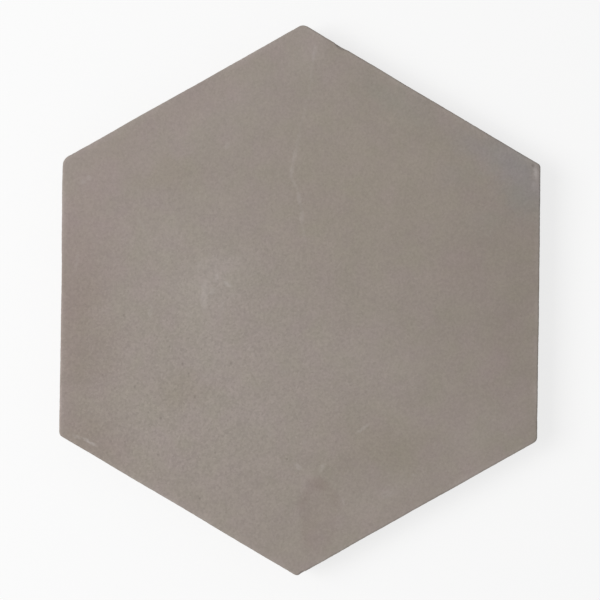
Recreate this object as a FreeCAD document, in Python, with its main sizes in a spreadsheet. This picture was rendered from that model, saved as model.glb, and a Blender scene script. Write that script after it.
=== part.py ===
import FreeCAD, Part
import math
import os
import Sketcher

# A hexagonal floor tile, pressed in one piece from pigmented cement.
# The tile lies on its back. Z is up, the walked-on face is on top, and the origin is the middle of the back.
# Two of its flats face along X and two of its corners point along Y. Lengths are in millimetres.

os.makedirs("parts", exist_ok=True)
document = FreeCAD.newDocument("hexagon_floor_tile")

# Driving sizes
# Each row is the name of a size, its value and what it measures.
sizes = document.addObject("Spreadsheet::Sheet", "sizes")
driving_sizes = [
    ("FaceFlats", 200.0, "across the flats, at the face"),
    ("CornerRadius", 2.0, "radius of the six corners, at the face"),
    ("Thickness", 16.0, "from the back to the face"),
    ("SideLean", 1.0, "degrees that each side leans in towards the back"),
    ("FaceArris", 0.8, "radius of the rounded edge of the face"),
    ("BackArris", 0.8, "width of the bevel round the back"),
    ("BackRim", 14.0, "from a flat of the face to the recess in the back"),
    ("RecessCornerRadius", 8.0, "radius of the recess's corners, at the back"),
    ("RecessDepth", 0.8, "depth of the recess in the back"),
    ("RecessLean", 45.0, "degrees that the recess's walls lean from upright"),
]
for row, (name, value, meaning) in enumerate(driving_sizes, start=1):
    sizes.set(f"A{row}", name)
    sizes.set(f"B{row}", str(value))
    sizes.setAlias(f"B{row}", name)
    sizes.set(f"C{row}", meaning)
document.recompute()

# The tile is one body, because it is pressed as one piece.
tile = document.addObject("PartDesign::Body", "hexagon_tile")
tile.Label = "hexagon_tile"
ground_plane = next(part for part in tile.Origin.OriginFeatures if part.Role == "XY_Plane")


def draw_hexagon(name, height, across_flats, corner_radius):
    """Sketch a regular hexagon with rounded corners on a level plane, two of its flats facing along X.

    height, across_flats and corner_radius are expressions in the names of the driving sizes.
    """
    sketch = tile.newObject("Sketcher::SketchObject", name)
    sketch.AttachmentSupport = [(ground_plane, "")]
    sketch.MapMode = "FlatFace"
    sketch.setExpression("AttachmentOffset.Base.z", height)

    # The lines and arcs start in the right order and lie, and the constraints bring them to size.
    start_half_flats = sizes.FaceFlats / 2
    start_radius = start_half_flats / 10
    centre_reach = (start_half_flats - start_radius) / math.cos(math.radians(30))
    upright = FreeCAD.Vector(0, 0, 1)
    for side in range(6):
        facing = math.radians(60 * side)
        outward = FreeCAD.Vector(math.cos(facing), math.sin(facing), 0)
        along = FreeCAD.Vector(-math.sin(facing), math.cos(facing), 0)
        half_length = centre_reach / 2
        sketch.addGeometry(
            Part.LineSegment(
                outward * start_half_flats - along * half_length,
                outward * start_half_flats + along * half_length,
            ),
            False,
        )
    for corner in range(6):
        pointing = math.radians(60 * corner + 30)
        centre = FreeCAD.Vector(centre_reach * math.cos(pointing), centre_reach * math.sin(pointing), 0)
        round_corner = Part.Circle(centre, upright, start_radius)
        sketch.addGeometry(
            Part.ArcOfCircle(round_corner, pointing - math.radians(30), pointing + math.radians(30)), False
        )
    centre_circle = sketch.addGeometry(Part.Circle(FreeCAD.Vector(0, 0, 0), upright, centre_reach), True)

    # Constraints know the points of a line or arc, and the origin of the sketch, by these numbers.
    start_point, end_point, centre_point = 1, 2, 3
    sketch_origin = -1

    # Equal sides, and equal arcs whose centres lie on one circle, make the hexagon regular.
    # The sides are numbered from 0 and the corners from 6, in the order in which they were drawn.
    first_side, first_corner = 0, 6
    sketch.addConstraint(
        Sketcher.Constraint("Coincident", centre_circle, centre_point, sketch_origin, start_point)
    )
    for side in range(6):
        corner = first_corner + side
        next_side = (side + 1) % 6
        sketch.addConstraint(Sketcher.Constraint("Tangent", side, end_point, corner, start_point))
        sketch.addConstraint(Sketcher.Constraint("Tangent", corner, end_point, next_side, start_point))
        sketch.addConstraint(Sketcher.Constraint("PointOnObject", corner, centre_point, centre_circle))
    for step in range(1, 6):
        sketch.addConstraint(Sketcher.Constraint("Equal", first_side, first_side + step))
        sketch.addConstraint(Sketcher.Constraint("Equal", first_corner, first_corner + step))
    sketch.addConstraint(Sketcher.Constraint("Vertical", first_side))
    half_flats = sketch.addConstraint(
        Sketcher.Constraint(
            "DistanceX", sketch_origin, start_point, first_side, start_point, start_half_flats
        )
    )
    sketch.renameConstraint(half_flats, "half_across_flats")
    sketch.setExpression("Constraints.half_across_flats", f"({across_flats}) / 2")
    radius = sketch.addConstraint(Sketcher.Constraint("Radius", first_corner, start_radius))
    sketch.renameConstraint(radius, "corner_radius")
    sketch.setExpression("Constraints.corner_radius", corner_radius)
    document.recompute()
    return sketch


def rim_edges(shape, height):
    """Name the edges round the outside of the flat face that lies at a height."""
    tolerance = 1e-4
    for face in shape.Faces:
        if max(abs(face.BoundBox.ZMin - height), abs(face.BoundBox.ZMax - height)) < tolerance:
            rim = face.OuterWire.Edges
            break
    else:
        raise RuntimeError(f"no flat face lies at {height} mm")
    return [
        f"Edge{number}"
        for number, edge in enumerate(shape.Edges, start=1)
        if any(edge.isSame(rim_edge) for rim_edge in rim)
    ]


# The pressed block
face_outline = draw_hexagon("face_outline", "sizes.Thickness", "sizes.FaceFlats", "sizes.CornerRadius")
block = tile.newObject("PartDesign::Pad", "pressed_block")
block.Profile = (face_outline, [""])
block.Reversed = True
block.setExpression("Length", "sizes.Thickness")
document.recompute()

# The leaning sides
# The block keeps its size at the face and narrows towards its back.
# Laid side by side, such tiles close at the face and leave room for mortar below it.
half_thickness = sizes.Thickness / 2
side_faces = []
for number, face in enumerate(block.Shape.Faces, start=1):
    if face.BoundBox.ZLength > half_thickness:
        side_faces.append(f"Face{number}")
    elif face.BoundBox.ZMin > half_thickness:
        walked_on_face = f"Face{number}"
leaning_block = tile.newObject("PartDesign::Draft", "leaning_sides")
leaning_block.Base = (block, side_faces)
leaning_block.NeutralPlane = (block, [walked_on_face])
leaning_block.Reversed = True
leaning_block.setExpression("Angle", "sizes.SideLean")
document.recompute()

# The recess in the back
# The press leaves a shallow panel with sloping walls, which the mortar bed keys into.
recess_mouth = draw_hexagon(
    "recess_mouth", "0 mm", "sizes.FaceFlats - 2 * sizes.BackRim", "sizes.RecessCornerRadius"
)
recessed_block = tile.newObject("PartDesign::Pocket", "back_recess")
recessed_block.Profile = (recess_mouth, [""])
recessed_block.Reversed = True
recessed_block.setExpression("Length", "sizes.RecessDepth")
recessed_block.setExpression("TaperAngle", "-sizes.RecessLean")
document.recompute()

# The eased edge of the face
# It runs round the straight sides and the corners in one line.
eased_block = tile.newObject("PartDesign::Fillet", "face_arris")
eased_block.Base = (recessed_block, rim_edges(recessed_block.Shape, sizes.Thickness))
eased_block.setExpression("Radius", "sizes.FaceArris")
document.recompute()

# The bevelled edge of the back
bevelled_block = tile.newObject("PartDesign::Chamfer", "back_arris")
bevelled_block.Base = (eased_block, rim_edges(eased_block.Shape, 0))
bevelled_block.setExpression("Size", "sizes.BackArris")
document.recompute()
tile.Tip = bevelled_block
document.recompute()

# Checks before the part is written
for item in document.Objects:
    if "Invalid" in item.State or "Error" in item.State:
        raise RuntimeError(f"{item.Label} did not build: {item.State}")
steps = [block, leaning_block, recessed_block, eased_block, bevelled_block]
for step in steps + [tile]:
    if step.Shape.isNull() or not step.Shape.isValid() or len(step.Shape.Solids) != 1:
        raise RuntimeError(f"{step.Label} is not one sound solid")
for earlier, later in zip(steps, steps[1:]):
    if later.Shape.Volume >= earlier.Shape.Volume:
        raise RuntimeError(f"{later.Label} took nothing away")

tile.Shape.exportStep("parts/hexagon_tile.step")
extent = tile.Shape.optimalBoundingBox()
print(f"hexagon_tile {extent.XLength:.2f} x {extent.YLength:.2f} x {extent.ZLength:.2f} mm")
print(f"volume {tile.Shape.Volume / 1000:.1f} cm3, faces {len(tile.Shape.Faces)}")
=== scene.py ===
import math
import random

import bpy
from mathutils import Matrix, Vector


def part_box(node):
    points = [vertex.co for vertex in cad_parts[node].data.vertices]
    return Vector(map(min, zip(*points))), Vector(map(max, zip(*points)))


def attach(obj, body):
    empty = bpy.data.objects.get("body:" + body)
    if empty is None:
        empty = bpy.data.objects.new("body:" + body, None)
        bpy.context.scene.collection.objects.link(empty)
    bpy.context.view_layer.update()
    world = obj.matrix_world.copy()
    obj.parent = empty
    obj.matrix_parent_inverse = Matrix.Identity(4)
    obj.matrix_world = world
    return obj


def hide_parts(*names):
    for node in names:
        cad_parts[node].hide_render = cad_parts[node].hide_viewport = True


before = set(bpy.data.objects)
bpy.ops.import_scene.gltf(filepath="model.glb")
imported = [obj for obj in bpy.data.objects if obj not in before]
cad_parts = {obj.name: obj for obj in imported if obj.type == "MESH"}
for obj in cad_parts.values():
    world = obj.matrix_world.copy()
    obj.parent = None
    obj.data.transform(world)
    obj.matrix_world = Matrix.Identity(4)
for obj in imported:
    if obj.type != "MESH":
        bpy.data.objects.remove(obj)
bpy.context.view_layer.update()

# The tile
# The real tile is one block of pigmented cement, pressed face down on polished steel in a six-sided mould.
# It has no glaze, core or coating, nothing is fixed to it, and it lies on its back.
millimetre = 0.001
low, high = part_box("hexagon_tile")
thickness = high[2] - low[2]
arris = 0.8 * millimetre
back_bevel = 0.8 * millimetre
side_lean = math.radians(1)
half_flats = high[0] + arris * math.tan(side_lean)
recess_half_flats = half_flats - 14 * millimetre
recess_radius = 8 * millimetre
recess_depth = 0.8 * millimetre

# The moulded corners are round to 2 mm, and some have worn rounder at the face. The list gives how many
# times rounder, anticlockwise from the lower right corner, seen from above with a corner at the top.
corner_radius = 2 * millimetre
worn_corners = [1.2, 1.0, 1.9, 2.3, 1.1, 1.0]


def ease(value):
    """Turn a run from 0 to 1 into one that starts and ends gently."""
    value = min(max(value, 0.0), 1.0)
    return value * value * (3 - 2 * value)


def hexagon_point(half_width, radius, height, turn, worn=1.0):
    """Give the point at a turn from 0 to 6 round a rounded hexagon, starting from the middle of a corner."""
    side = int(turn)
    across = 2 * (turn - side) - 1
    corner = (side if across < 0 else side + 1) % 6
    radius *= 1 + (worn_corners[corner] - 1) * worn
    half_straight = (half_width - radius) * math.tan(math.radians(30))
    along = abs(across) * (half_straight + radius * math.radians(30))
    bend = max(along - half_straight, 0) / radius
    outward = half_width - radius + radius * math.cos(bend)
    sideways = math.copysign(min(along, half_straight) + radius * math.sin(bend), across)
    facing = math.radians(60 * side)
    return (
        outward * math.cos(facing) - sideways * math.sin(facing),
        outward * math.sin(facing) + sideways * math.cos(facing),
        height,
    )


# The skin is a stack of rounded hexagons, from the middle of the face, down the leaning sides, to the middle
# of the back, with enough points to carry a worn edge and a sandy back.
points = [(0, 0, thickness)]
triangles = []
arris_share = [0.0]
mortar_share = [0.0]
last_ring = [0]


def add_ring(half_width, radius, height, count, arris_value, mortar_value, worn):
    """Add a rounded hexagon of points and join it to the one before it with triangles.

    arris_value is 1 on the eased edge of the face, mortar_value is 1 where the cement is sandy and dry, and
    worn is 1 where the corners have their worn radius.
    """
    global last_ring
    ring = list(range(len(points), len(points) + count))
    for number in range(count):
        points.append(hexagon_point(half_width, radius, height, 6 * number / count, worn))
    arris_share.extend([arris_value] * count)
    mortar_share.extend([mortar_value] * count)
    before, after = 0, 0
    while before < len(last_ring) or after < count:
        here, there = last_ring[before % len(last_ring)], ring[after % count]
        if (after + 1) / count <= (before + 1) / len(last_ring):
            after += 1
            triangles.append((here, there, ring[after % count]))
        else:
            before += 1
            if len(last_ring) > 1:
                triangles.append((here, there, last_ring[before % len(last_ring)]))
    last_ring = ring


# The face is a lattice of triangles 1.1 mm wide, with closer rings next to the arris.
face_lattice_rings = 100
edge_points = 1152
arris_centre = arris / math.cos(side_lean) + arris * math.tan(side_lean)
flat_half_width = half_flats - arris_centre
lattice_half_width = flat_half_width - 3.2 * millimetre
for number in range(1, face_lattice_rings + 1):
    scale = number / face_lattice_rings
    add_ring(lattice_half_width * scale, corner_radius * scale, thickness, 6 * number, 0, 0, 1)
for gap, count in [(2.4, 768), (1.6, 960), (0.9, edge_points), (0.4, edge_points)]:
    add_ring(flat_half_width - gap * millimetre, corner_radius, thickness, count, ease(1 - gap / 2), 0, 1)

# The arris is a quarter round that ends where the leaning side begins. It is dense, and a little sandy at
# its foot.
arris_rows = 5
foot_mortar = 0.15
for row in range(arris_rows + 1):
    angle = math.radians(90) - (math.radians(90) + side_lean) * row / arris_rows
    half_width = half_flats - arris_centre + arris * math.cos(angle)
    height = thickness - arris + arris * math.sin(angle)
    add_ring(half_width, corner_radius, height, edge_points, 1, foot_mortar * row / arris_rows, 1)

# The sides run down to the bevel of the back. Going down from the arris, the rubbed tone fades first, then
# the cement turns sandy, and then the corners come back to their moulded radius.
side_rows = 19
side_top = height
rubbed_reach = 2 * millimetre
dense_reach = 5 * millimetre
worn_reach = 9 * millimetre
for row in range(1, side_rows + 1):
    down = (side_top - back_bevel) * row / side_rows
    half_width = half_flats - (thickness - side_top + down) * math.tan(side_lean)
    arris_value = ease(1 - down / rubbed_reach)
    mortar_value = foot_mortar + (1 - foot_mortar) * ease(down / dense_reach)
    worn = ease(1 - down / worn_reach)
    add_ring(half_width, corner_radius, side_top - down, edge_points, arris_value, mortar_value, worn)
back_half_width = half_flats - thickness * math.tan(side_lean) - back_bevel
add_ring(back_half_width + back_bevel / 2, corner_radius, back_bevel / 2, edge_points, 0.5, 1, 0)
add_ring(back_half_width, corner_radius, 0, edge_points, 0.5, 1, 0)

# The rim of the back leads to the recess, whose corners are rounder than the tile's.
rim_rings = 9
recess_points = 600
for number in range(1, rim_rings + 1):
    inward_share = number / rim_rings
    half_width = back_half_width + (recess_half_flats - back_half_width) * inward_share
    radius = corner_radius + (recess_radius - corner_radius) * inward_share
    count = round(edge_points + (recess_points - edge_points) * inward_share)
    add_ring(half_width, radius, 0, count, 0, 1, 0)
wall_rows = 4
for row in range(1, wall_rows + 1):
    inward = recess_depth * row / wall_rows
    height = recess_depth * ease(row / wall_rows)
    add_ring(recess_half_flats - inward, recess_radius - inward, height, recess_points, 0, 1, 0)
back_lattice_rings = 56
lattice_half_width = recess_half_flats - recess_depth - 1.4 * millimetre
for number in range(back_lattice_rings, 0, -1):
    scale = number / back_lattice_rings
    add_ring(lattice_half_width * scale, recess_radius * scale, recess_depth, 6 * number, 0, 1, 0)
middle = len(points)
points.append((0, 0, recess_depth))
arris_share.append(0)
mortar_share.append(1)
for number in range(6):
    triangles.append((last_ring[number], middle, last_ring[(number + 1) % 6]))

skin = bpy.data.meshes.new("pressed_block")
skin.from_pydata(points, [], triangles)
skin.attributes.new("arris", "FLOAT", "POINT").data.foreach_set("value", arris_share)
skin.attributes.new("mortar", "FLOAT", "POINT").data.foreach_set("value", mortar_share)

# The tile's cement
# Pigment is stirred into fine cement and pressed against polished steel, so the face is matte and dense. It
# is faintly cloudy, with lime bloom, damp patches, a hairline, rubbed flecks, pinholes and a fine tooth.
# The sides and the back have the same colour all through, but are dry-pressed and sandy, with small voids.


def add(tree, kind, inputs=None, **settings):
    """Add a node to a tree with its settings, and set its inputs or link them to a socket or a node."""
    made = tree.nodes.new(kind)
    for name, value in settings.items():
        setattr(made, name, value)
    for key, value in (inputs or {}).items():
        if isinstance(value, bpy.types.Node):
            value = value.outputs[0]
        if isinstance(value, bpy.types.NodeSocket):
            tree.links.new(value, made.inputs[key])
        else:
            made.inputs[key].default_value = value
    return made


def colour(text):
    """Turn an sRGB hex value into linear red, green, blue and alpha."""
    parts = [int(text[start : start + 2], 16) / 255 for start in (1, 3, 5)]
    return [part / 12.92 if part <= 0.04045 else ((part + 0.055) / 1.055) ** 2.4 for part in parts] + [1.0]


cement = bpy.data.materials.new("pigmented_cement")
cement.use_nodes = True
paint = cement.node_tree
shader = paint.nodes["Principled BSDF"]
shader.inputs["IOR"].default_value = 1.5
cement.diffuse_color = colour("#958b84")
place = add(paint, "ShaderNodeTexCoord").outputs["Object"]
sandy = add(paint, "ShaderNodeAttribute", attribute_name="mortar").outputs["Fac"]
eased = add(paint, "ShaderNodeAttribute", attribute_name="arris").outputs["Fac"]
broken = add(paint, "ShaderNodeAttribute", attribute_name="broken").outputs["Fac"]

# The stirred pigment makes faint clouds some 16 mm across, and drifts a little between olive and mauve.
cloud_size = 16 * millimetre
clouds = add(
    paint, "ShaderNodeTexNoise", {"Vector": place, "Scale": 1 / cloud_size, "Detail": 5, "Roughness": 0.56}
)
cloud_share = add(paint, "ShaderNodeMapRange", {"Value": clouds, "From Min": 0.3, "From Max": 0.7})
tone = add(
    paint,
    "ShaderNodeMix",
    {"Factor": cloud_share, "A": colour("#958b82"), "B": colour("#9b9088")},
    data_type="RGBA",
).outputs["Result"]
drift_size = 11 * millimetre
drift_strength = 0.1
drift = add(
    paint, "ShaderNodeTexNoise", {"Vector": place, "Scale": 1 / drift_size, "Detail": 2, "Roughness": 0.5}
)
drift = add(
    paint, "ShaderNodeMapRange", {"Value": drift.outputs["Color"], "From Min": 0.35, "From Max": 0.65}
)
drift = add(
    paint,
    "ShaderNodeMix",
    {"Factor": drift, "A": colour("#949479"), "B": colour("#9b838f")},
    data_type="RGBA",
).outputs["Result"]
tone = add(
    paint, "ShaderNodeMix", {"Factor": drift_strength, "A": tone, "B": drift}, data_type="RGBA"
).outputs["Result"]


def soft_mark(where, x, y, half_length, half_width, turn, strength, fade=1.0):
    """Give a share that is strength in the middle of an oval on the face and fades to nothing at its edge.

    x, y, half_length and half_width are in millimetres, and turn is in degrees. fade is the share of the
    oval over which it fades.
    """
    oval = add(
        paint,
        "ShaderNodeMapping",
        {
            "Vector": where,
            "Location": (x * millimetre, y * millimetre, thickness),
            "Rotation": (0, 0, math.radians(turn)),
            "Scale": (half_length * millimetre, half_width * millimetre, half_width * millimetre),
        },
        vector_type="TEXTURE",
    )
    oval = add(paint, "ShaderNodeTexGradient", {"Vector": oval}, gradient_type="SPHERICAL").outputs["Fac"]
    return add(
        paint,
        "ShaderNodeMapRange",
        {"Value": oval, "From Max": fade, "To Max": strength},
        interpolation_type="SMOOTHSTEP",
    )


# Stains, and one broad veil of painted shade over the right half, by the colour of their veil: place of the
# middle, half length and half width in millimetres, turn in degrees, and how strong the veil is in the
# middle. Their outlines wander by a few millimetres.
bloom = colour("#d6cfcc")
damp = colour("#6e4b42")
stains_and_painted_shade = [
    (
        bloom,
        [
            (-34, -26, 100, 58, 102, 0.048),
            (-40, 4, 24, 17, 20, 0.05),
            (-30, 14, 26, 12, 10, 0.035),
            (-38, -20, 22, 15, 80, 0.02),
            (-56, 22, 16, 9, 60, 0.02),
            (24, -26, 48, 26, -15, 0.028),
            (-30, 82, 52, 24, 30, 0.028),
            (0, 106, 24, 16, 90, 0.04),
            (-60, -56, 24, 12, -60, 0.02),
            (-16, -50, 22, 12, 0, 0.018),
            (34, -82, 30, 8, 30, 0.025),
            (76, -54, 26, 8, 30, 0.03),
        ],
    ),
    (
        damp,
        [
            (-99, -8, 74, 33, 90, 0.17),
            (-88, -62, 30, 17, -35, 0.12),
            (-76, 62, 24, 12, 40, 0.03),
        ],
    ),
    (
        # An olive-brown veil: brown stains on the left, and in its broad mark on the right, painted shade.
        colour("#5c5233"),
        [
            (-90, -2, 15, 10, 80, 0.07),
            (-88, -27, 19, 11, 80, 0.09),
            (-48, -38, 18, 11, 10, 0.075),
            (-52, 50, 22, 12, 15, 0.055),
            (38, -63, 38, 13, 6, 0.085),
            (14, -70, 14, 10, 30, 0.03),
            # Painted shade: a broad darkening over the right half of the face, the side away from the window.
            (108, 14, 108, 88, 90, 0.12),
            (44, 78, 40, 12, -30, 0.035),
            (6, 40, 14, 34, 0, 0.02),
        ],
    ),
    (
        colour("#948d70"),
        [
            (26, 46, 60, 60, 0, 0.12),
            (34, -58, 34, 22, 0, 0.10),
            (-48, -38, 20, 12, 10, 0.12),
            (-56, 52, 26, 12, 15, 0.12),
        ],
    ),
    (
        colour("#9b8187"),
        [
            (-86, 40, 50, 26, 80, 0.13),
            (-46, 82, 40, 12, 32, 0.12),
            (66, 14, 20, 14, 20, 0.12),
            (84, -22, 26, 12, 80, 0.10),
            (52, 76, 20, 9, -32, 0.08),
        ],
    ),
    (
        colour("#7189a6"),
        [
            (93, 53, 32, 18, -72, 0.12),
            (76, 64, 26, 12, -32, 0.07),
        ],
    ),
    (
        colour("#7e8e80"),
        [
            (42, 82, 30, 10, -30, 0.12),
            (66, 52, 14, 8, 0, 0.07),
            (78, 34, 12, 8, 0, 0.07),
        ],
    ),
]
wander_size = 14 * millimetre
wander = add(
    paint, "ShaderNodeTexNoise", {"Vector": place, "Scale": 1 / wander_size, "Detail": 4, "Roughness": 0.65}
)
wander = add(
    paint, "ShaderNodeVectorMath", {0: wander.outputs["Color"], 1: (0.5, 0.5, 0.5)}, operation="SUBTRACT"
)
wander_reach = (22 * millimetre, 22 * millimetre, 0)
wander = add(paint, "ShaderNodeVectorMath", {0: wander, 1: wander_reach}, operation="MULTIPLY")
wandered = add(paint, "ShaderNodeMapping", {"Vector": place, "Location": wander})
for veil, marks in stains_and_painted_shade:
    veil_share = 0.0
    for x, y, half_length, half_width, turn, strength in marks:
        mark = soft_mark(wandered, x, y, half_length, half_width, turn, strength)
        veil_share = add(paint, "ShaderNodeMath", {0: veil_share, 1: mark}, operation="ADD")
    tone = add(
        paint, "ShaderNodeMix", {"Factor": veil_share, "A": tone, "B": veil}, data_type="RGBA"
    ).outputs["Result"]

# Lime has come up through the fine cement as a mottling of grains 1 to 3 mm across, pale and dark. Most of
# it is on the lower left half.
lower_left = soft_mark(wandered, -50, -45, 150, 120, 45, 0.6)
lower_left = add(paint, "ShaderNodeMath", {0: lower_left, 1: 0.4}, operation="ADD")

# The fine patterns are turned askew, so that the face doesn't cut them along a plane of their lattice.
askew = add(paint, "ShaderNodeMapping", {"Vector": place, "Rotation": (0.5, 0.3, 0.4)})
mottle_size = 3.2 * millimetre
mottle_reach = 0.025
mottle = add(
    paint, "ShaderNodeTexNoise", {"Vector": askew, "Scale": 1 / mottle_size, "Detail": 3, "Roughness": 0.8}
)
mottle = add(
    paint,
    "ShaderNodeMapRange",
    {"Value": mottle, "From Min": 0.3, "From Max": 0.7, "To Min": -mottle_reach, "To Max": mottle_reach},
)
mottle = add(paint, "ShaderNodeMath", {0: mottle, 1: lower_left}, operation="MULTIPLY")

# Grains of pigment and fine sand, about 1 mm across, give the matte face its tooth, and show more where the
# cement is sandy.
grain_size = 1.0 * millimetre
grain = add(
    paint, "ShaderNodeTexNoise", {"Vector": askew, "Scale": 1 / grain_size, "Detail": 2, "Roughness": 0.7}
)
face_share = add(
    paint,
    "ShaderNodeMapRange",
    {"Value": grain, "From Min": 0.3, "From Max": 0.7, "To Min": 0.94, "To Max": 1.06},
)
sandy_share = add(
    paint,
    "ShaderNodeMapRange",
    {"Value": grain, "From Min": 0.3, "From Max": 0.7, "To Min": 0.8, "To Max": 1.16},
)
grain_share = add(
    paint, "ShaderNodeMix", {"Factor": sandy, "A": face_share, "B": sandy_share}, data_type="FLOAT"
)
speckle_size = 0.9 * millimetre
face_speckle = 0.104
sandy_speckle = 0.16
speckle = add(paint, "ShaderNodeTexVoronoi", {"Vector": askew, "Scale": 1 / speckle_size})
speckle = add(
    paint, "ShaderNodeMapRange", {"Value": speckle.outputs["Color"], "To Min": -1.0, "To Max": 1.0}
)
speckle_strength = add(paint, "ShaderNodeMath", {0: lower_left, 1: face_speckle}, operation="MULTIPLY")
speckle_strength = add(
    paint, "ShaderNodeMix", {"Factor": sandy, "A": speckle_strength, "B": sandy_speckle}, data_type="FLOAT"
)
speckle = add(paint, "ShaderNodeMath", {0: speckle, 1: speckle_strength}, operation="MULTIPLY")
grain_share = add(paint, "ShaderNodeMath", {0: grain_share, 1: mottle}, operation="ADD")
grain_share = add(paint, "ShaderNodeMath", {0: grain_share, 1: speckle}, operation="ADD")
tone = add(paint, "ShaderNodeVectorMath", {0: tone, "Scale": grain_share}, operation="SCALE").outputs[0]

# Rubbed flecks and scratches: place of the middle, half length and half width in millimetres, turn in
# degrees, and strength.
flecks = [
    (-39.9, 1.5, 8.5, 2.2, 88, 0.11),
    (-40.0, 6.0, 2.4, 1.6, 60, 0.07),
    (-39.8, -2.6, 3.0, 1.6, 85, 0.07),
    (-34.7, 9.2, 1.8, 1.3, 60, 0.16),
    (-30.4, 6.3, 3.0, 1.5, -37, 0.2),
    (-36.8, 3.2, 2.4, 1.7, 30, 0.12),
    (-32.6, -3.5, 4.0, 1.5, 80, 0.06),
    (-42, 14, 4.5, 1.6, 60, 0.04),
    (-27, 2, 3.0, 1.5, 10, 0.03),
    (-46, -8, 5.0, 2.0, 80, 0.03),
    (-56.5, 13.4, 9.0, 1.2, 68, 0.035),
    (-20, -21.5, 6.0, 1.3, -65, 0.03),
    (-62.4, -5.6, 5.0, 1.6, 82, 0.075),
    (-66, 30.4, 6.0, 1.1, -55, 0.06),
    (-91.3, 48.2, 2.2, 1.4, 20, 0.1),
    (-88.7, 49.8, 1.8, 1.4, 40, 0.1),
    (-93.4, 15, 7.0, 1.1, 80, 0.06),
    (-87.3, -60.3, 4.6, 1.05, -29, 0.36),
    (-92.6, -58.1, 3.0, 1.0, -20, 0.14),
    (-31.3, 64.3, 2.6, 1.3, 95, 0.1),
    (27, -53.2, 5.0, 1.2, 38, 0.15),
    (0, -69.4, 3.0, 1.5, -30, 0.13),
    (10.3, -69.8, 3.0, 1.4, 60, 0.13),
    (37.8, -80.2, 4.6, 2.8, 20, 0.07),
    (18.8, -83.8, 2.6, 1.5, 90, 0.07),
    (2.8, -59.4, 1.6, 1.2, 0, 0.06),
    (48.6, -72.4, 2.6, 1.0, 0, 0.06),
    (97.6, 54, 3.6, 1.7, 92, 0.27),
    (97.2, 48.8, 3.4, 1.1, 85, 0.08),
    (-6, -30, 2.6, 1.4, 0, 0.04),
    (-12, -55.5, 4.0, 1.5, -70, 0.035),
]

# The hairline: the points that it runs through, from the top corner down, and the strength of each stretch.
hairline = [
    (5.4, 106.5),
    (4.1, 99),
    (2.7, 86),
    (-0.8, 72),
    (-2.2, 63.5),
    (-3.9, 57),
    (-4.3, 50.5),
    (-1.6, 46),
    (0.1, 39),
    (0.6, 31),
    (2.2, 24),
]
hairline_strength = [0.12, 0.05, 0.04, 0.07, 0.11, 0.12, 0.1, 0.11, 0.11, 0.05]
for start, end, strength in zip(hairline, hairline[1:], hairline_strength):
    length = math.hypot(end[0] - start[0], end[1] - start[1])
    turn = math.degrees(math.atan2(end[1] - start[1], end[0] - start[0]))
    middle_x, middle_y = (start[0] + end[0]) / 2, (start[1] + end[1]) / 2
    flecks.append((middle_x, middle_y, 0.75 * length, 1.25, turn, strength))

# The outlines of the flecks are ragged by a millimetre or so, and the flecks are patchy.
jitter_size = 2.4 * millimetre
jitter = add(
    paint, "ShaderNodeTexNoise", {"Vector": place, "Scale": 1 / jitter_size, "Detail": 3, "Roughness": 0.7}
)
jitter_step = add(
    paint, "ShaderNodeVectorMath", {0: jitter.outputs["Color"], 1: (0.5, 0.5, 0.5)}, operation="SUBTRACT"
)
jitter_reach = (3.2 * millimetre, 3.2 * millimetre, 0)
jitter_step = add(paint, "ShaderNodeVectorMath", {0: jitter_step, 1: jitter_reach}, operation="MULTIPLY")
jittered = add(paint, "ShaderNodeMapping", {"Vector": place, "Location": jitter_step})
rubbed = 0.0
for x, y, half_length, half_width, turn, strength in flecks:
    fleck = soft_mark(jittered, x, y, half_length, half_width, turn, strength, fade=0.8)
    rubbed = add(paint, "ShaderNodeMath", {0: rubbed, 1: fleck}, operation="MAXIMUM")
patchy = add(
    paint, "ShaderNodeMapRange", {"Value": jitter, "From Min": 0.36, "From Max": 0.56, "To Min": 0.5}
)
rubbed = add(paint, "ShaderNodeMath", {0: rubbed, 1: patchy}, operation="MULTIPLY")
tone = add(
    paint, "ShaderNodeMix", {"Factor": rubbed, "A": tone, "B": bloom}, data_type="RGBA"
).outputs["Result"]

# A damp print near the bottom corner has a crisper outline than the other stains. It is a faint oval under
# an arch, and the head of the arch is the darkest. Each row ends with the mark's strength and fade.
damp_print = [
    (9, -90.5, 17.5, 9, 88, 0.06, 0.25),
    (8.7, -76.6, 6.5, 4.2, -12, 0.13, 0.7),
    (2.4, -83, 8, 2.8, 68, 0.075, 0.7),
    (15.8, -82.4, 7, 2.8, -66, 0.07, 0.7),
    (5, -96, 12, 5, 80, 0.055, 0.7),
]
print_share = 0.0
for x, y, half_length, half_width, turn, strength, fade in damp_print:
    print_mark = soft_mark(jittered, x, y, half_length, half_width, turn, strength, fade)
    print_share = add(paint, "ShaderNodeMath", {0: print_share, 1: print_mark}, operation="ADD")
tone = add(
    paint, "ShaderNodeMix", {"Factor": print_share, "A": tone, "B": colour("#66493c")}, data_type="RGBA"
).outputs["Result"]

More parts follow.
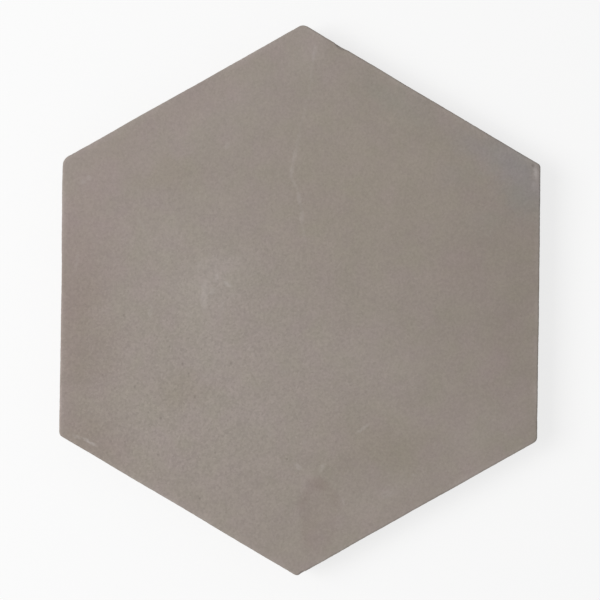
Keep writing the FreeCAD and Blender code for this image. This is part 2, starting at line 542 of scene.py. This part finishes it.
# Pinholes are where air was trapped against the steel. The list has the ones that show best, each with its
# place, its half width and its share of the full depth. Finer ones lie in cells 3 mm wide, and most of them
# are at the lower left.
pits = [
    (-73, -7.3, 0.9, 0.8),
    (-45.8, -31.4, 0.8, 0.9),
    (-48.4, -27.3, 0.9, 0.8),
    (-68.3, -37.1, 0.9, 0.5),
    (-43.1, -40.9, 0.9, 0.8),
    (-57.3, -50.1, 0.8, 0.7),
    (-34.4, -64.2, 0.8, 0.6),
    (-58.1, -65.4, 0.9, 0.8),
    (-53.9, -20.2, 0.7, 0.6),
    (-86.2, -51.8, 0.9, 0.35),
    (-40.6, -21, 0.6, 0.6),
    (-33.3, -22.2, 0.6, 0.6),
    (-28.2, -26.8, 0.8, 0.6),
    (-62.6, -47.7, 0.6, 0.6),
    (-81.7, -32.3, 0.7, 0.5),
    (28, -38.1, 0.9, 0.45),
    (-40.5, -83.3, 0.8, 0.8),
    (-4.4, -66.4, 0.7, 0.7),
    (96.8, 57.4, 1.1, 1.0),
]
pinhole = 0.0
for x, y, half_width, depth in pits:
    pit = soft_mark(place, x, y, half_width, half_width, 0, depth, fade=0.8)
    pinhole = add(paint, "ShaderNodeMath", {0: pinhole, 1: pit}, operation="MAXIMUM")
hole_spacing = 3.0 * millimetre
cells = add(paint, "ShaderNodeTexVoronoi", {"Vector": place, "Scale": 1 / hole_spacing})
hole_reach = add(paint, "ShaderNodeMath", {0: lower_left, 1: 0.45}, operation="MULTIPLY")
hole_reach = add(paint, "ShaderNodeMath", {0: cells.outputs["Color"], 1: hole_reach}, operation="ADD")
hole_reach = add(
    paint,
    "ShaderNodeMapRange",
    {"Value": hole_reach, "From Min": 0.9, "From Max": 1.35, "To Min": 0.0, "To Max": 0.2},
)
fine_hole = add(paint, "ShaderNodeMath", {0: hole_reach, 1: cells.outputs["Distance"]}, operation="SUBTRACT")
fine_hole = add(
    paint,
    "ShaderNodeMapRange",
    {"Value": fine_hole, "From Max": 0.2, "To Max": 0.7},
    interpolation_type="SMOOTHSTEP",
)
pinhole = add(paint, "ShaderNodeMath", {0: pinhole, 1: fine_hole}, operation="MAXIMUM")
# Painted shade: the pinholes are darkened in colour, as the shade inside them would darken them.
pinhole_painted_shade = add(paint, "ShaderNodeMath", {0: pinhole, 1: 0.28}, operation="MULTIPLY")
tone = add(
    paint, "ShaderNodeMix", {"Factor": pinhole_painted_shade, "A": tone, "B": colour("#4c433d")}, data_type="RGBA"
).outputs["Result"]

# Voids in the sandy sides and back are larger and closer together. Their darkness is painted shade.
void_spacing = 5 * millimetre
void_cells = add(paint, "ShaderNodeTexVoronoi", {"Vector": jittered, "Scale": 1 / void_spacing})
void_reach = add(
    paint,
    "ShaderNodeMapRange",
    {"Value": void_cells.outputs["Color"], "From Min": 0.55, "From Max": 0.95, "To Min": 0.0, "To Max": 0.2},
)
void = add(paint, "ShaderNodeMath", {0: void_reach, 1: void_cells.outputs["Distance"]}, operation="SUBTRACT")
void = add(paint, "ShaderNodeMapRange", {"Value": void, "From Max": 0.08}, interpolation_type="SMOOTHSTEP")
void = add(paint, "ShaderNodeMath", {0: void, 1: sandy}, operation="MULTIPLY")
# Painted shade: the voids are darkened in colour, as the shade inside them would darken them.
tone = add(
    paint, "ShaderNodeMix", {"Factor": void, "A": tone, "B": colour("#6a615a")}, data_type="RGBA"
).outputs["Result"]

# Rubbing has paled the arris, and cement that has broken away shows paler still.
rub = add(paint, "ShaderNodeMapRange", {"Value": clouds, "From Min": 0.35, "From Max": 0.65, "To Max": 0.08})
rub = add(paint, "ShaderNodeMath", {0: rub, 1: eased}, operation="MULTIPLY")
fresh = add(paint, "ShaderNodeMath", {0: broken, 1: 0.16}, operation="MULTIPLY")
pale = add(paint, "ShaderNodeMath", {0: rub, 1: fresh}, operation="MAXIMUM")
tone = add(
    paint, "ShaderNodeMix", {"Factor": pale, "A": tone, "B": bloom}, data_type="RGBA"
).outputs["Result"]
paint.links.new(tone, shader.inputs["Base Color"])

# The steel has burnished the face a little and unevenly, and the sandy parts are quite dull.
burnish = add(
    paint,
    "ShaderNodeMapRange",
    {"Value": clouds, "From Min": 0.3, "From Max": 0.7, "To Min": 0.6, "To Max": 0.72},
)
dullness = add(paint, "ShaderNodeMix", {"Factor": sandy, "A": burnish, "B": 0.9}, data_type="FLOAT")
paint.links.new(dullness.outputs["Result"], shader.inputs["Roughness"])

# The relief is the grain, and the pinholes and voids sunk into it.
face_tooth = 0.04 * millimetre
sandy_tooth = 0.35 * millimetre
deepest_hole = 0.12 * millimetre
deepest_void = 0.45 * millimetre
face_relief = add(paint, "ShaderNodeMath", {0: grain, 1: face_tooth}, operation="MULTIPLY")
sandy_relief = add(paint, "ShaderNodeMath", {0: grain, 1: sandy_tooth}, operation="MULTIPLY")
relief = add(
    paint, "ShaderNodeMix", {"Factor": sandy, "A": face_relief, "B": sandy_relief}, data_type="FLOAT"
)
hole_depth = add(paint, "ShaderNodeMath", {0: pinhole, 1: deepest_hole}, operation="MULTIPLY")
void_depth = add(paint, "ShaderNodeMath", {0: void, 1: deepest_void}, operation="MULTIPLY")
pit_depth = add(paint, "ShaderNodeMath", {0: hole_depth, 1: void_depth}, operation="MAXIMUM")
relief = add(paint, "ShaderNodeMath", {0: relief, 1: pit_depth}, operation="SUBTRACT")
bump = add(paint, "ShaderNodeBump", {"Height": relief, "Distance": 1.0, "Strength": 1.0})
paint.links.new(bump.outputs["Normal"], shader.inputs["Normal"])

# The tile's pressing and wear
# The walls of the mould are not quite straight, grains and a few chips have left the arris, and the
# dry-pressed back is coarse. A geometry nodes tree does this to the even skin.

# Chips: how far round the outline, in sides from the lower right corner, then width and depth in millimetres.
seen_chips = [
    (0.24, 11.0, 0.4),
    (0.965, 6.5, 0.45),
    (1.825, 5.8, 0.58),
    (3.45, 3.0, 0.25),
]

# Small chips lie all round by chance.
small_chip_count = 40
luck = random.Random(7)
small_chips = []
for number in range(small_chip_count):
    small_chips.append((luck.uniform(0, 6), luck.uniform(0.8, 2.4), luck.uniform(0.08, 0.22)))

# Each chip is the bite of a ball, whose middle lies outside the arris and above it.
chip_places = []
chip_reaches = []
for turn, width, depth in seen_chips + small_chips:
    reach = (width * width / 4 + depth * depth) / (2 * depth) * millimetre
    on_edge = Vector(hexagon_point(half_flats, corner_radius, thickness, turn))
    upward = Vector((0, 0, luck.uniform(0.5, 1.2)))
    outward = (Vector((on_edge.x, on_edge.y, 0)).normalized() + upward).normalized()
    on_edge -= outward * (math.sqrt(2) - 1) * arris
    chip_places.append(on_edge + outward * (reach - depth * millimetre))
    chip_reaches.append(reach)
chip_mesh = bpy.data.meshes.new("chips")
chip_mesh.from_pydata(chip_places, [], [])
chip_mesh.attributes.new("reach", "FLOAT", "POINT").data.foreach_set("value", chip_reaches)
chips = bpy.data.objects.new("chips", chip_mesh)
bpy.context.collection.objects.link(chips)

wear = bpy.data.node_groups.new("pressing_and_wear", "GeometryNodeTree")
wear_sizes = {
    "Side waver": 0.3 * millimetre,
    "Waver length": 40 * millimetre,
    "Crumble depth": 0.07 * millimetre,
    "Crumble size": 1.7 * millimetre,
    "Sand depth": 0.22 * millimetre,
    "Sand size": 3.2 * millimetre,
}
wear.interface.new_socket("Skin", in_out="INPUT", socket_type="NodeSocketGeometry")
wear.interface.new_socket("Chips", in_out="INPUT", socket_type="NodeSocketObject")
wear.interface.new_socket("Cement", in_out="INPUT", socket_type="NodeSocketMaterial")
for name in wear_sizes:
    wear.interface.new_socket(name, in_out="INPUT", socket_type="NodeSocketFloat")
wear.interface.new_socket("Tile", in_out="OUTPUT", socket_type="NodeSocketGeometry")
given = add(wear, "NodeGroupInput").outputs
at = add(wear, "GeometryNodeInputPosition")
out = add(wear, "GeometryNodeInputNormal")
on_arris = add(wear, "GeometryNodeInputNamedAttribute", {"Name": "arris"}, data_type="FLOAT")
in_mortar = add(wear, "GeometryNodeInputNamedAttribute", {"Name": "mortar"}, data_type="FLOAT")

# Every side wavers inwards, and the middle of the tile stays where it is.
level = add(wear, "ShaderNodeVectorMath", {0: at, 1: (1, 1, 0)}, operation="MULTIPLY")
level_out = add(wear, "ShaderNodeVectorMath", {0: level}, operation="NORMALIZE")
level_reach = add(wear, "ShaderNodeVectorMath", {0: level}, operation="LENGTH")
near_side = add(
    wear,
    "ShaderNodeMapRange",
    {"Value": level_reach.outputs["Value"], "From Min": 0.6 * half_flats, "From Max": half_flats},
    interpolation_type="SMOOTHSTEP",
)
waver_pitch = add(wear, "ShaderNodeMath", {0: 1.0, 1: given["Waver length"]}, operation="DIVIDE")
waver = add(wear, "ShaderNodeTexNoise", {"Vector": level, "Scale": waver_pitch, "Detail": 2.0})
waver = add(wear, "ShaderNodeMapRange", {"Value": waver, "From Min": 0.3, "From Max": 0.7})
waver = add(wear, "ShaderNodeMath", {0: waver, 1: near_side}, operation="MULTIPLY")
waver = add(wear, "ShaderNodeMath", {0: waver, 1: given["Side waver"]}, operation="MULTIPLY")
waver_step = add(wear, "ShaderNodeVectorMath", {0: level_out, "Scale": waver}, operation="SCALE")

# Grains have left the arris here and there.
crumble_pitch = add(wear, "ShaderNodeMath", {0: 1.0, 1: given["Crumble size"]}, operation="DIVIDE")
crumble = add(wear, "ShaderNodeTexNoise", {"Vector": at, "Scale": crumble_pitch, "Detail": 3.0})
crumble = add(
    wear,
    "ShaderNodeMapRange",
    {"Value": crumble, "From Min": 0.45, "From Max": 0.7},
    interpolation_type="SMOOTHSTEP",
)
crumble = add(wear, "ShaderNodeMath", {0: crumble, 1: on_arris}, operation="MULTIPLY")
crumble = add(wear, "ShaderNodeMath", {0: crumble, 1: given["Crumble depth"]}, operation="MULTIPLY")

# The sand shows where the cement is dry-pressed.
sand_pitch = add(wear, "ShaderNodeMath", {0: 1.0, 1: given["Sand size"]}, operation="DIVIDE")
sand = add(wear, "ShaderNodeTexNoise", {"Vector": at, "Scale": sand_pitch, "Detail": 4.0, "Roughness": 0.6})
sand = add(wear, "ShaderNodeMapRange", {"Value": sand, "From Min": 0.3, "From Max": 0.7})
sand = add(wear, "ShaderNodeMath", {0: sand, 1: in_mortar}, operation="MULTIPLY")
sand = add(wear, "ShaderNodeMath", {0: sand, 1: given["Sand depth"]}, operation="MULTIPLY")
sunk = add(wear, "ShaderNodeMath", {0: crumble, 1: sand}, operation="ADD")
sunk_step = add(wear, "ShaderNodeVectorMath", {0: out, "Scale": sunk}, operation="SCALE")

# The waver and the lost grains move each point into the block.
both_steps = add(wear, "ShaderNodeVectorMath", {0: waver_step, 1: sunk_step}, operation="ADD")
inward_step = add(wear, "ShaderNodeVectorMath", {0: both_steps, "Scale": -1.0}, operation="SCALE")
worn_skin = add(wear, "GeometryNodeSetPosition", {"Geometry": given["Skin"], "Offset": inward_step})

# Points of the skin that are inside a chip's ball move out to its surface, into the block.
balls = add(wear, "GeometryNodeObjectInfo", {"Object": given["Chips"]}).outputs["Geometry"]
nearest = add(wear, "GeometryNodeSampleNearest", {"Geometry": balls}, domain="POINT")
ball_place = add(
    wear,
    "GeometryNodeSampleIndex",
    {"Geometry": balls, "Value": at, "Index": nearest},
    data_type="FLOAT_VECTOR",
)
ball_reach = add(wear, "GeometryNodeInputNamedAttribute", {"Name": "reach"}, data_type="FLOAT")
ball_reach = add(
    wear,
    "GeometryNodeSampleIndex",
    {"Geometry": balls, "Value": ball_reach, "Index": nearest},
    data_type="FLOAT",
)
from_ball = add(wear, "ShaderNodeVectorMath", {0: at, 1: ball_place}, operation="SUBTRACT")
gap = add(wear, "ShaderNodeVectorMath", {0: from_ball}, operation="LENGTH").outputs["Value"]
away = add(wear, "ShaderNodeVectorMath", {0: from_ball}, operation="NORMALIZE")
bite = add(wear, "ShaderNodeMath", {0: ball_reach, 1: gap}, operation="SUBTRACT")
bite = add(wear, "ShaderNodeMath", {0: bite, 1: 0.0}, operation="MAXIMUM")
bite_step = add(wear, "ShaderNodeVectorMath", {0: away, "Scale": bite}, operation="SCALE")
chipped_skin = add(wear, "GeometryNodeSetPosition", {"Geometry": worn_skin, "Offset": bite_step})

# How much cement has gone is kept with each point, because a fresh break is paler.
gone = add(wear, "ShaderNodeMath", {0: crumble, 1: bite}, operation="ADD")
gone = add(
    wear,
    "ShaderNodeMapRange",
    {"Value": gone, "From Min": 0.05 * millimetre, "From Max": 0.35 * millimetre},
)
noted = add(
    wear,
    "GeometryNodeStoreNamedAttribute",
    {"Geometry": chipped_skin, "Name": "broken", "Value": gone},
    data_type="FLOAT",
    domain="POINT",
)
smooth = add(wear, "GeometryNodeSetShadeSmooth", {"Geometry": noted})
whole = add(wear, "GeometryNodeRealizeInstances", {"Geometry": smooth})
dressed = add(wear, "GeometryNodeSetMaterial", {"Geometry": whole, "Material": given["Cement"]})
add(wear, "NodeGroupOutput", {0: dressed})

# The tree runs once, and the tile keeps the finished mesh.
tile = bpy.data.objects.new("tile_body", skin)
bpy.context.collection.objects.link(tile)
pressing = tile.modifiers.new("pressing_and_wear", "NODES")
pressing.node_group = wear
sockets = {
    socket.name: socket.identifier
    for socket in wear.interface.items_tree
    if socket.in_out == "INPUT"
}
pressing[sockets["Chips"]] = chips
pressing[sockets["Cement"]] = cement
for name, value in wear_sizes.items():
    pressing[sockets[name]] = value
finished = tile.evaluated_get(bpy.context.evaluated_depsgraph_get())
finished_mesh = bpy.data.meshes.new_from_object(finished)
tile.modifiers.clear()
tile.data = finished_mesh
bpy.data.objects.remove(chips)
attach(tile, "root")
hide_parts("hexagon_tile")

# The floor
# It is a plain white sheet. Three quarters of what the camera sees of it is its own glow, which keeps it
# white and lightens the tile's shadow, and adds no light to the tile.
glow_share = 0.75
sheet = bpy.data.materials.new("white_sheet")
sheet.use_nodes = True
sheet_nodes = sheet.node_tree
sheet_nodes.nodes.remove(sheet_nodes.nodes["Principled BSDF"])
paper = add(sheet_nodes, "ShaderNodeBsdfDiffuse", {"Color": (0.9, 0.9, 0.9, 1)})
glow = add(sheet_nodes, "ShaderNodeEmission", {"Color": (1, 1, 1, 1), "Strength": 1.0})
ray = add(sheet_nodes, "ShaderNodeLightPath").outputs
seen = add(
    sheet_nodes, "ShaderNodeMath", {0: ray["Is Camera Ray"], 1: ray["Is Glossy Ray"]}, operation="MAXIMUM"
)
seen = add(sheet_nodes, "ShaderNodeMath", {0: seen, 1: ray["Is Transmission Ray"]}, operation="MAXIMUM")
glowing = add(sheet_nodes, "ShaderNodeMath", {0: seen, 1: glow_share}, operation="MULTIPLY")
both = add(sheet_nodes, "ShaderNodeMixShader", {0: glowing, 1: paper, 2: glow})
sheet_nodes.links.new(both.outputs[0], sheet_nodes.nodes["Material Output"].inputs["Surface"])

half_floor = 6.0
corners = [(x * half_floor, y * half_floor, 0) for x, y in [(-1, -1), (1, -1), (1, 1), (-1, 1)]]
floor_mesh = bpy.data.meshes.new("floor")
floor_mesh.from_pydata(corners, [], [(0, 1, 2, 3)])
floor_mesh.materials.append(sheet)
floor = bpy.data.objects.new("floor", floor_mesh)
bpy.context.collection.objects.link(floor)

# The light
# A pale sky all round, and one large soft window to the left, which makes the left side a little lighter.
# What the camera sees of the sky is as pale as the far end of the floor, so that no horizon shows from low
# down.
sky_light = 0.4
sky_seen = 0.84
scene = bpy.context.scene
scene.view_settings.view_transform = "Standard"
sky = bpy.data.worlds.new("pale_sky")
sky.use_nodes = True
sky_nodes = sky.node_tree
ray = add(sky_nodes, "ShaderNodeLightPath").outputs
strength = add(
    sky_nodes, "ShaderNodeMapRange", {"Value": ray["Is Camera Ray"], "To Min": sky_light, "To Max": sky_seen}
)
sky_nodes.links.new(strength.outputs[0], sky_nodes.nodes["Background"].inputs["Strength"])
sky_nodes.nodes["Background"].inputs["Color"].default_value = (1, 1, 1, 1)
scene.world = sky

window = bpy.data.lights.new("window", "AREA")
window.shape = "SQUARE"
window.size = 0.9
window.energy = 18
lamp = bpy.data.objects.new("window", window)
lamp.location = (-1.05, 0.05, 1.2)
lamp.rotation_euler = (-lamp.location).to_track_quat("-Z", "Y").to_euler()
bpy.context.collection.objects.link(lamp)

# The camera
# It looks straight down at the face, turned by the 0.7 degrees that the tile is turned in the photograph.
# The tile's height takes 0.92 of the picture's.
photo_turn = math.radians(0.7)
frame_share = 0.92
camera_data = bpy.data.cameras.new("camera")
camera_data.lens = 85
tile_height = 2 * high[1]
distance = tile_height / frame_share * camera_data.lens / camera_data.sensor_width
camera = bpy.data.objects.new("camera", camera_data)
camera.location = (0, 0, thickness + distance)
camera.rotation_euler = (0, 0, photo_turn)
bpy.context.collection.objects.link(camera)
scene.camera = camera
